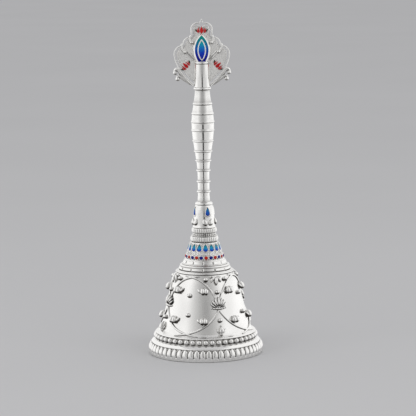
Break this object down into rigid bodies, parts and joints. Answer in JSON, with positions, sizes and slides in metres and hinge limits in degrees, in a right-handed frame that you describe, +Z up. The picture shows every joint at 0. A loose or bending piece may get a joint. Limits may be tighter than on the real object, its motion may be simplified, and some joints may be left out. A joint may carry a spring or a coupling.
{
  "type": "hand bell",
  "caption": "Ornamental hand bell with a ringed baluster handle, lobed enamelled crest, relief vines on a flared cup, gadrooned foot and a hidden free-swinging clapper.",
  "frame": {"origin": "centre of the mouth plane that the bell stands on", "axes": "+Z up the bell's axis towards the crest; the crest's decorated face looks along -Y; +X to the viewer's right"},
  "size_m": [0.0704, 0.0704, 0.2034],
  "materials": {
    "silver": "polished silver with a darker patina in the recesses",
    "steel": "plain machined steel",
    "enamel_red": "glossy translucent red enamel",
    "enamel_navy": "glossy dark blue enamel",
    "enamel_teal": "glossy enamel shading from teal green to deep blue",
    "enamel_green": "glossy dark green enamel"
  },
  "bodies": {
    "bell": {"bell_shell": "silver", "foot_gadroon_band": "silver", "bead_channel": "silver", "foot_beads": "silver", "vine_wires": "silver", "open_blossoms": "silver", "hanging_blossoms": "silver", "lily_sprays": "silver", "lotus_buds": "silver", "granules": "silver", "lower_step_ring": "silver", "upper_step_ring": "silver", "crown_seat": "silver", "dot_ring": "silver", "drop_cone": "silver", "drop_collets": "silver", "lower_gadroon_ring": "silver", "cavetto_collar": "silver", "upper_gadroon_ring": "silver", "knop": "silver", "knop_petals": "silver", "handle_grip": "silver", "crest_tube": "silver", "crest_collar": "silver", "crest_plate": "silver", "crest_rim": "silver", "crest_stems": "silver", "crest_scrolls": "silver", "mandorla_setting": "silver", "mandorla_wire": "silver", "tie_rod": "steel", "crown_washer": "steel", "crown_nut": "steel", "red_cabochons": "enamel_red", "blue_cabochons": "enamel_navy", "drop_enamels": "enamel_teal", "knop_enamels": "enamel_teal", "crest_lotus_red": "enamel_red", "crest_lotus_green": "enamel_green", "mandorla_outer_enamel": "enamel_teal", "mandorla_inner_enamel": "enamel_teal"},
    "clapper_swivel": {"clapper_fork": "silver", "clapper_pin": "steel"},
    "clapper": {"clapper_stem": "silver", "clapper_ball": "silver"}
  },
  "joints": [
    {"name": "clapper_turn", "type": "hinge", "parent": "bell", "child": "clapper_swivel", "pos_m": [0, 0, 0.0462], "axis": [0, 0, 1], "continuous": true},
    {"name": "clapper_swing", "type": "hinge", "parent": "clapper_swivel", "child": "clapper", "pos_m": [0, 0, 0.0393], "axis": [0, 1, 0], "range_deg": [-40, 40]}
  ]
}
